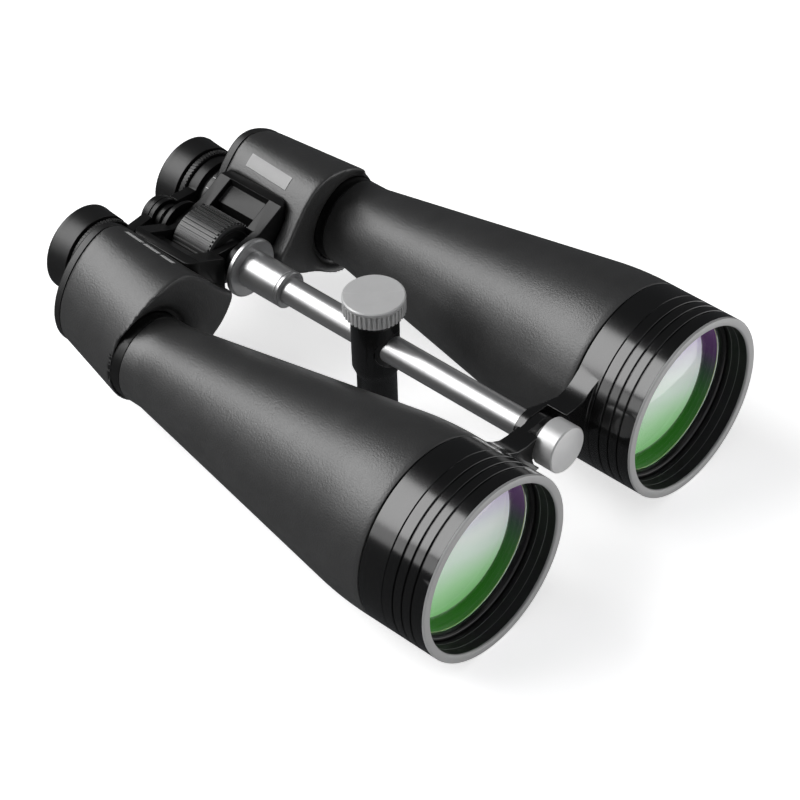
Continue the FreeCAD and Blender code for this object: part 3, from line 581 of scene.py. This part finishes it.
def hood_profile():
    """Outside of the hood behind its rim, with round-bottomed grooves."""
    line = [(43.9, 1.3), (47.0, 1.3)]
    for y in GROOVES:
        line += [(47.0, y - 0.62), (46.75, y - 0.42), (46.1, y - 0.3), (46.1, y + 0.3), (46.75, y + 0.42),
                 (47.0, y + 0.62)]
    return line + [(47.0, 24.7), (46.7, 25.0), (45.1, 25.0), (45.1, 20.4), (43.9, 20.4)]


LANDS = (10.4, 6.0)


def lining_profile():
    """Blackened bore with shallow steps."""
    line = [(43.9, 1.3), (43.9, 20.4), (43.3, 20.4), (43.3, 12.9), (43.1, 12.9)]
    for y in LANDS:
        line += [(43.1, y + 0.5), (42.8, y + 0.35), (42.8, y)]
    return line + [(43.1, 3.0), (43.1, 1.3)]


for side in SIDES:
    add_piece(spun(hood_profile(), along_barrel(side), steps=180, ring=True), side + "_hood_tube", "hood_enamel",
              side + "_half", [side + "_hood"], bevel=0.12)
    add_piece(spun(lining_profile(), along_barrel(side), steps=180, ring=True), side + "_hood_lining",
              "hood_lining", side + "_half")
    # The lands carry the painted highlight finish, which shows as thin light arcs inside the dark bore.
    for n, y in enumerate(LANDS):
        land = [(43.0, y - 0.3), (42.75, y - 0.2), (42.75, y), (43.0, y)]
        add_piece(spun(land, along_barrel(side), steps=180, ring=True), f"{side}_bore_land_{n + 1}", "land_painted_highlight",
                  side + "_half")
    rim = [(42.7, 1.25), (42.7, 0.7), (43.1, 0.1), (43.3, 0.0), (46.6, 0.0), (46.8, 0.1), (47.0, 0.6), (47.0, 1.25)]
    add_piece(spun(rim, along_barrel(side), steps=180, ring=True), side + "_hood_rim", "machined_rim",
              side + "_half")
print("hoods:", made)

# %% lens cells, retaining rings and glass
def bulge(radius, place, depth, count=8):
    """Points of a shallow dome from the axis out to radius; depth is signed."""
    return [(radius * i / count, place + depth * (i / count) ** 2) for i in range(count + 1)]


def cell_profile():
    """Cell round the retaining ring and the lenses, with a lip at its back."""
    line = [(42.5, 12.95), (42.5, 33.2), (39.5, 33.2), (39.5, 31.7), (41.05, 31.7), (41.05, 13.4)]
    return line + [(41.4, 13.1), (41.8, 12.95)]


for side in SIDES:
    body = side + "_half"
    add_piece(spun(cell_profile(), along_barrel(side), ring=True), side + "_lens_mount", "black_anodised",
              body, [side + "_lens_cell"], bevel=0.12)
    keeper = [(41.0, 13.5), (40.7, 13.5), (40.4, 13.9), (40.2, 15.2), (40.2, 16.0), (41.0, 16.0)]
    add_piece(spun(keeper, along_barrel(side), ring=True), side + "_lens_ring", "black_anodised",
              body, [side + "_lens_retainer"], bevel=0.08)
    crown = bulge(40.0, 12.6, 3.6, 20) + [(40.0, 17.6)] + bulge(40.0, 17.0, 0.6, 6)[-2::-1]
    add_piece(spun(crown, along_barrel(side)), side + "_crown_glass", "coated_glass", body,
              [side + "_front_lens"])
    seat = [(39.9, 17.7), (40.7, 17.7), (40.7, 18.3), (39.9, 18.3)]
    add_piece(spun(seat, along_barrel(side), ring=True), side + "_lens_spacer", "ring_of_light",
              body)
    wall = [(40.3, 18.35), (40.9, 18.35), (40.9, 30.8), (38.2, 30.8), (38.2, 28.4), (38.8, 27.4)]
    add_piece(spun(wall, along_barrel(side), ring=True), side + "_flint_wall", "deep_painted_reflection", body)
    cup = bulge(38.1, 29.4, -1.3, 12) + [(38.1, 30.9), (0.0, 30.9)]
    add_piece(spun(cup, along_barrel(side)), side + "_coated_flint", "lens_painted_reflection", body,
              [side + "_rear_lens"])
print(len(made), "pieces so far")

# %% [markdown]
# ## Barrels
# A barrel is a drawn tube under a bonded rubber skin: straight under the brace, a round
# shoulder, then one long taper down to the neck. It is one spin. The shoulder's arc comes from
# a few points on a parabola, close enough together for smooth shading to hide them.

# %% barrels
SHOULDER, BLEND, NECK_START, NECK_END = 57.0, 14.0, 208.6, 217.85
TAPER = (47.0 - 22.6) / (NECK_START - SHOULDER)


def barrel_profile():
    line = [(42.6, 20.5), (45.0, 20.5), (45.0, 39.45), (46.5, 39.45), (46.85, 39.6), (47.0, 39.95)]
    for i in range(13):
        t = i / 12
        line.append((47.0 - TAPER * BLEND * t * t, SHOULDER + BLEND * (2 * t - 1)))
    for i in range(1, 12):
        y = SHOULDER + BLEND + (NECK_START - SHOULDER - BLEND) * i / 12
        line.append((47.0 - TAPER * (y - SHOULDER), y))
    return line + [(22.75, 207.6), (22.6, 210.2), (22.6, NECK_END), (20.1, NECK_END), (20.1, 208.6), (42.6, 69.0)]


for side in SIDES:
    add_piece(spun(barrel_profile(), along_barrel(side), steps=180, ring=True), side + "_barrel_skin",
              "armour_rubber", side + "_half", [side + "_barrel"], bevel=0.15)
print("barrel taper is", round(TAPER, 4))

# %% [markdown]
# ## Castings and mouldings
# The braces, the arms, the prism housings with the frame round the wheel and their rubber
# armour have shapes that no spin gives, so they start from copies of their nodes. A bevel
# modifier rounds the castings. The braces' arms are drawn in to the back of their rings. The
# armour is remade from small even faces and smoothed, as soft rubber has no crisp edge.

# %% bevelled copies
COPIES = [("front_brace", "brace_casting", "brace_enamel", 0.45),
          ("prism_housing", "housing_casting", "cast_black", 0.45),
          ("rear_cover", "rear_plate", "cover_black", 0.25),
          ("cover_screws", "plate_screws", "screw_black", 0.12)]
RING_END = 38.9           # back of the brace's ring, from the rims
LUG_HALF_WIDTH = 12       # the lug about the rod keeps its full depth


def trimmed_brace(side):
    """Copy of a brace whose arm is drawn in to the back of the ring, except round its lug."""
    bm = copied(side + "_front_brace")
    back = FRONT + RING_END * MM
    for vert in bm.verts:
        if vert.co.y > back and abs(vert.co.x) > LUG_HALF_WIDTH * MM:
            vert.co.y = back
    bmesh.ops.dissolve_degenerate(bm, dist=MERGE, edges=bm.edges[:])
    bmesh.ops.remove_doubles(bm, verts=bm.verts[:], dist=MERGE)
    return bm


def moulded(node, cell=0.75, passes=6):
    """Copy of a node remade from small even faces and smoothed, so that every edge is round."""
    source = bpy.data.objects.new(node + "_source", bpy.data.meshes.new(node + "_source"))
    bm = copied(node, flat=0.0)
    bm.to_mesh(source.data)
    bm.free()
    bpy.context.scene.collection.objects.link(source)
    remake = source.modifiers.new("remake", "REMESH")
    remake.mode = "VOXEL"
    remake.voxel_size = cell * MM
    depsgraph = bpy.context.evaluated_depsgraph_get()
    mesh = bpy.data.meshes.new_from_object(source.evaluated_get(depsgraph))
    bpy.data.objects.remove(source)
    bm = bmesh.new()
    bm.from_mesh(mesh)
    bpy.data.meshes.remove(mesh)
    for _ in range(passes):
        bmesh.ops.smooth_vert(bm, verts=bm.verts[:], factor=0.5, use_axis_x=True, use_axis_y=True, use_axis_z=True)
    return bm


for side in SIDES:
    for node, name, finish_name, width in COPIES:
        bm = trimmed_brace(side) if node == "front_brace" else copied(side + "_" + node)
        add_piece(bm, side + "_" + name, finish_name, side + "_half", [side + "_" + node], bevel=width)
    skin = add_piece(moulded(side + "_armour"), side + "_armour_moulding", "armour_rubber",
                     side + "_half", [side + "_armour"], angle=180.0)
    print(skin.name, len(skin.data.polygons), "faces")
    node = side + "_eyepiece_arm"
    add_piece(copied(node), side + "_arm_casting", "cast_black", body_of[node], [node], bevel=0.4)
add_piece(copied("tripod_post"), "post_casting", "brace_enamel", "tripod_post", ["tripod_post"],
          bevel=0.4)
print(len(made), "pieces so far")

# %% [markdown]
# ## The steel centre line
# The rod, its sleeve and its flange are polished steel, turned on one axis. They carry the
# brightest reflections on the object, so their profiles have small real chamfers.

# %% rod, sleeve, flange and hinge cap
steel = {
    "rod_shaft": ([(0, 32.9), (4.7, 32.9), (5.0, 33.2), (5.0, 43.4), (6.6, 43.4), (7.0, 43.8), (7.0, 219.4),
                   (0, 219.4)], "polished_steel", "centre_rod", "centre_frame"),
    "rod_collar": ([(7.05, 193.4), (9.1, 193.4), (9.7, 194.0), (9.7, 195.2), (9.1, 195.5), (9.1, 196.0),
                    (9.7, 196.3), (9.7, 219.35), (7.05, 219.35)], "polished_steel", "rod_sleeve", "centre_frame"),
    "rod_disc": ([(7.02, 219.4), (14.7, 219.4), (15.5, 220.2), (15.5, 221.9), (15.0, 222.4), (7.02, 222.4)],
                 "polished_steel", "rod_flange", "centre_frame"),
    "hinge_cap": ([(6.05, 269.2), (14.0, 269.2), (14.0, 271.4), (12.8, 272.6), (8.2, 272.6), (7.8, 272.2),
                   (6.05, 272.2)], "cast_black", "hinge_end_cap", "centre_frame"),
}
for name, (profile, finish_name, node, body) in steel.items():
    add_piece(spun(profile, along_rod(), steps=96, ring=profile[0][0] > 0), name, finish_name, body,
              [node], bevel=0.08)
print("steel pieces:", list(steel))

# %% tension knob
knob = [(0, 17.75), (11.0, 17.7), (11.4, 17.75), (12.0, 18.4), (12.0, 28.4), (11.4, 29.0), (4.3, 29.0), (4.3, 32.6),
        (3.26, 32.6), (3.26, 41.0), (0, 41.0)]
add_piece(spun(knob, along_rod(), steps=120), "tension_grip", "turned_alloy", "tension_knob",
          ["tension_knob"], bevel=0.1)
print("tension knob spun")

# %% [markdown]
# ## Wheels with ribs
# The focus wheel, the grip rings and the clamp knob have ribs that a thumb can feel. Each is
# spun with a whole number of steps to a rib, and the faces that belong to the ribs are raised
# with the extrude operator, so the ribs are real shapes in every view.

# %% focus wheel
def ribbed_ring(centre, profile, band, count, per_rib, wide, height):
    bm = spun(profile, centre, steps=count * per_rib, ring=True)
    ribs(bm, centre, count, per_rib, wide, band[0], band[1], height)
    bmesh.ops.recalc_face_normals(bm, faces=bm.faces[:])
    return bm


wheel = [(6.04, 235.2), (8.5, 235.2), (9.0, 235.6), (13.0, 235.6), (13.5, 235.2), (15.4, 235.2), (16.1, 236.0),
         (16.1, 236.6), (16.1, 259.6), (16.1, 260.2), (15.4, 261.0), (6.04, 261.0)]
add_piece(ribbed_ring(along_rod(), wheel, (236.7, 259.5), 44, 4, 2, 0.9), "focus_knurl", "wheel_plastic",
          "focus_wheel", ["focus_wheel"], bevel=0.12)
for side in SIDES:
    node = "right_dioptre_ring" if side == "right" else "left_grip_ring"
    ring = [(16.54, 287.3), (20.8, 287.3), (21.1, 287.6), (21.1, 287.7), (21.1, 290.2), (21.1, 290.3),
            (20.8, 290.6), (16.54, 290.6)]
    add_piece(ribbed_ring(along_eye(side), ring, (287.75, 290.15), 72, 4, 2, 0.5), side + "_grip_knurl",
              slot_of[node], body_of[node], [node], bevel=0.06)
print("ribbed pieces spun")

# %% clamp knob
clamp = [(0, 27.4), (11.5, 27.4), (11.8, 27.7), (11.8, 29.6), (13.7, 29.6), (14.2, 30.1), (14.2, 30.5),
         (14.2, 37.5), (15.1, 37.6), (15.3, 38.0), (15.3, 39.4), (14.7, 40.0), (0, 39.95)]
flat_centre = Vector((0, 0, 0))
bm = spun(clamp, flat_centre, steps=160)
ribs(bm, flat_centre, 40, 4, 2, 30.6, 37.4, 1.05)
bmesh.ops.recalc_face_normals(bm, faces=bm.faces[:])
bmesh.ops.rotate(bm, verts=bm.verts[:], matrix=Matrix.Rotation(math.pi / 2, 3, "X"))
bmesh.ops.translate(bm, verts=bm.verts[:], vec=Vector((POST.x, POST.y, AXIS_Z)))
add_piece(bm, "clamp_grip", "clamp_alloy", "clamp_knob", ["clamp_knob"], bevel=0.12)

# %% [markdown]
# ## Eyepieces
# Each eyepiece is a black tube with a soft rubber eyecup rolled over its end. The eyecup's lip
# is round, so it is spun from a profile with many points and no sharp corner.

# %% eyepiece tubes and eyecups
for side in SIDES:
    node = side + "_eyepiece_tube"
    tube = [(11.3, 262.0), (12.5, 262.0), (12.5, 272.6), (16.2, 272.6), (16.5, 272.9), (16.5, 299.0), (14.9, 299.0),
            (14.9, 274.2), (11.3, 274.2)]
    add_piece(spun(tube, along_eye(side), steps=96, ring=True), side + "_ocular_tube", "black_anodised",
              body_of[node], [node], bevel=0.12)
    node = side + "_eyecup"
    cup = [(16.55, 291.8), (21.9, 291.8), (22.15, 292.0), (22.2, 292.4), (22.3, 294.6), (22.5, 297.5),
           (22.7, 300.3), (22.95, 302.6), (23.1, 303.5), (23.0, 304.3), (22.5, 304.85), (21.7, 305.0),
           (20.7, 304.95), (19.8, 304.4), (19.1, 303.2), (18.4, 301.5), (16.8, 300.2), (14.9, 299.05),
           (16.55, 299.05)]
    add_piece(spun(cup, along_eye(side), steps=120, ring=True), side + "_eyecup_skin", "eyecup_rubber",
              body_of[node], [node])
pin = [(0, 277.7), (8.5, 277.7), (8.5, 280.8), (4.0, 280.8), (4.0, 287.2), (9.5, 287.2), (9.5, 289.2), (8.5, 290.0),
       (2.6, 290.0), (2.2, 289.4), (0, 289.4)]
add_piece(spun(pin, along_rod(), steps=96), "bridge_pin_turned", "cast_black", "bridge",
          ["bridge_pin"], bevel=0.12)
print(len(made), "pieces so far")

# %% [markdown]
# ## Marks
# The housings carry a small blank plate and a few plain printed bars, with no lettering. A
# grid of faces is laid over the armour: every vertex is dropped on to the surface below it, so
# the mark follows the curve, and solidify gives it its thickness.

# %% name plates and printed bars
def surface_of(name):
    mesh = bpy.data.objects[name].data
    bm = bmesh.new()
    bm.from_mesh(mesh)
    tree = BVHTree.FromBMesh(bm)
    bm.free()
    return tree


DROP_FROM = 0.2    # metres above the base, higher than any piece


def laid_mark(tree, x0, x1, y0, y1, thick):
    """Patch between two x and two y (in millimetres, y from the rims) dropped on a surface."""
    bm = bmesh.new()
    bmesh.ops.create_grid(bm, x_segments=10, y_segments=10, size=0.5)
    for vert in bm.verts:
        x = (x0 + (vert.co.x + 0.5) * (x1 - x0)) * MM
        y = (y0 + (vert.co.y + 0.5) * (y1 - y0)) * MM + FRONT
        hit = tree.ray_cast(Vector((x, y, DROP_FROM)), Vector((0, 0, -1)))
        vert.co = hit[0] + hit[1] * (thick * MM)
    bmesh.ops.solidify(bm, geom=bm.faces[:], thickness=thick * MM)
    bmesh.ops.recalc_face_normals(bm, faces=bm.faces[:])
    return bm


plate_bm = laid_mark(surface_of("right_armour_moulding"), 37.4, 43.0, 232.0, 259.3, 0.25)
add_piece(plate_bm, "right_blank_plate", "plate_silver", "right_half")
near_armour = surface_of("left_armour_moulding")
for n, (start, end) in enumerate(((229.5, 238.0), (239.5, 249.5), (251.0, 262.0))):
    bar_bm = laid_mark(near_armour, -43.0, -40.6, start, end, 0.08)
    add_piece(bar_bm, f"left_print_bar_{n + 1}", "name_print", "left_half")
print("marks laid on both housings")

# %% dioptre scale
SCALE_START, SCALE_MARGIN, SCALE_RADIUS, TICK_THICK = 276.4, 1.0, 18.32, 0.2


def tick(side, turn, length, wide):
    """Small raised mark on the guide in front of the dioptre ring."""
    bm = bmesh.new()
    bmesh.ops.create_cube(bm, size=1.0)
    bmesh.ops.scale(bm, verts=bm.verts[:], vec=(wide * MM, length * MM, TICK_THICK * MM))
    place = (0, (SCALE_START - 0.5 * length + SCALE_MARGIN) * MM, SCALE_RADIUS * MM)
    bmesh.ops.translate(bm, verts=bm.verts[:], vec=place)
    bmesh.ops.rotate(bm, verts=bm.verts[:], cent=(0, 0, 0), matrix=Matrix.Rotation(math.radians(turn), 3, "Y"))
    bmesh.ops.translate(bm, verts=bm.verts[:], vec=along_eye(side))
    return bm


for n, turn in enumerate((-40, -20, 0, 20, 40)):
    add_piece(tick("right", turn, 1.8 if turn else 2.8, 0.45), f"dioptre_tick_{n + 1}", "name_print",
              "right_half")
print("dioptre scale has 5 ticks")

# %% [markdown]
# ## Nodes that stay
# Prisms, pads, the shelf and the screws inside stay as they are: their shapes are right. They
# only change to the finish made for their slot.

# %% finishes for the nodes
changed = 0
for node, thing in frame["nodes"].items():
    for slot in thing.material_slots:
        if slot.material and slot.material.name.split(".")[0] in FINISHES:
            slot.material = FINISHES[slot.material.name.split(".")[0]]
            changed += 1
print(changed, "node slots changed")

# %% [markdown]
# ## Floor and light
# A catalogue picture has a pale floor and very large lights. One softbox stands behind on the
# left: its upper edge draws the sharp line on the hoods, and the rubber spreads it into a wide
# soft band. A smaller one below it lights the sides, a low panel in front fills the rims and
# the lenses, and two weak ones lift the right side and the top.

# %% floor
FLOOR_HALF, FLOOR_GAP, FLOOR_GLOW = 6.0, 0.0004, 0.72

bm = bmesh.new()
bmesh.ops.create_grid(bm, x_segments=1, y_segments=1, size=FLOOR_HALF)
bmesh.ops.translate(bm, verts=bm.verts[:], vec=(0, 0, cad_box[0].z - FLOOR_GAP))
mesh = bpy.data.meshes.new("studio_floor")
bm.to_mesh(mesh)
bm.free()
floor = bpy.data.objects.new("studio_floor", mesh)
bpy.context.scene.collection.objects.link(floor)
pale, tree, shader = empty_material("pale_floor", Roughness=0.9)
shader.inputs["Emission Strength"].default_value = FLOOR_GLOW
tone = place_group(tree, drift, Colour=grey(0.90), Other_Colour=grey(0.93), Scale=2.0)
tree.links.new(tone.outputs["Colour"], shader.inputs["Base Color"])
tree.links.new(tone.outputs["Colour"], shader.inputs["Emission Color"])
mesh.materials.append(pale)
floor.visible_glossy = False
print("floor at z =", round(cad_box[0].z, 4))

# %% softboxes
def softbox(name, position, target, width, height, strength):
    """Area light facing its target, hidden from the camera; strength is its radiance."""
    data = bpy.data.lights.new(name, "AREA")
    data.shape = "RECTANGLE"
    data.size, data.size_y = width, height
    data.energy = strength * width * height * math.pi
    lamp = bpy.data.objects.new(name, data)
    bpy.context.scene.collection.objects.link(lamp)
    way = (Vector(target) - Vector(position)).normalized()
    lamp.matrix_world = Matrix.Translation(position) @ way.to_track_quat("-Z", "Y").to_matrix().to_4x4()
    lamp.visible_camera = False
    return lamp


softbox("rear_left_softbox", (-0.85, 1.30, 1.70), (0, 0, 0.05), 2.2, 1.5, 4.4)
softbox("rear_left_low", (-1.85, 1.10, 0.80), (0, 0, 0.05), 0.9, 0.55, 1.8)
softbox("front_panel", (0.30, -0.62, 0.02), (0.0, -0.10, 0.20), 1.3, 0.7, 1.3)
softbox("right_fill", (1.9, -0.2, 0.9), (0, 0, 0.05), 0.8, 1.2, 0.4)
softbox("top_fill", (-0.3, -0.5, 2.4), (0, 0, 0), 1.6, 1.6, 0.5)

# %% world: white to the camera, nearly dark to every reflection
SEEN_LIGHT, OTHER_LIGHT = 1.0, 0.06

world = bpy.data.worlds.new("studio")
bpy.context.scene.world = world
world.use_nodes = True
nodes, links = world.node_tree.nodes, world.node_tree.links
seen = nodes["Background"]
seen.inputs["Color"].default_value = (1, 1, 1, 1)
seen.inputs["Strength"].default_value = SEEN_LIGHT
dim = nodes.new("ShaderNodeBackground")
dim.inputs["Color"].default_value = (0.92, 0.95, 1.0, 1)
dim.inputs["Strength"].default_value = OTHER_LIGHT
path = nodes.new("ShaderNodeLightPath")
choose = nodes.new("ShaderNodeMixShader")
links.new(path.outputs["Is Camera Ray"], choose.inputs[0])
links.new(dim.outputs[0], choose.inputs[1])
links.new(seen.outputs[0], choose.inputs[2])
links.new(choose.outputs[0], nodes["World Output"].inputs["Surface"])
bpy.context.scene.view_settings.view_transform = "Standard"
print("world ready")

# %% [markdown]
# ## Sizes
# The visual model has to stay inside the box of the engineering model.

# %% sizes
print("cad box", [tuple(round(v, 4) for v in c) for c in cad_box])
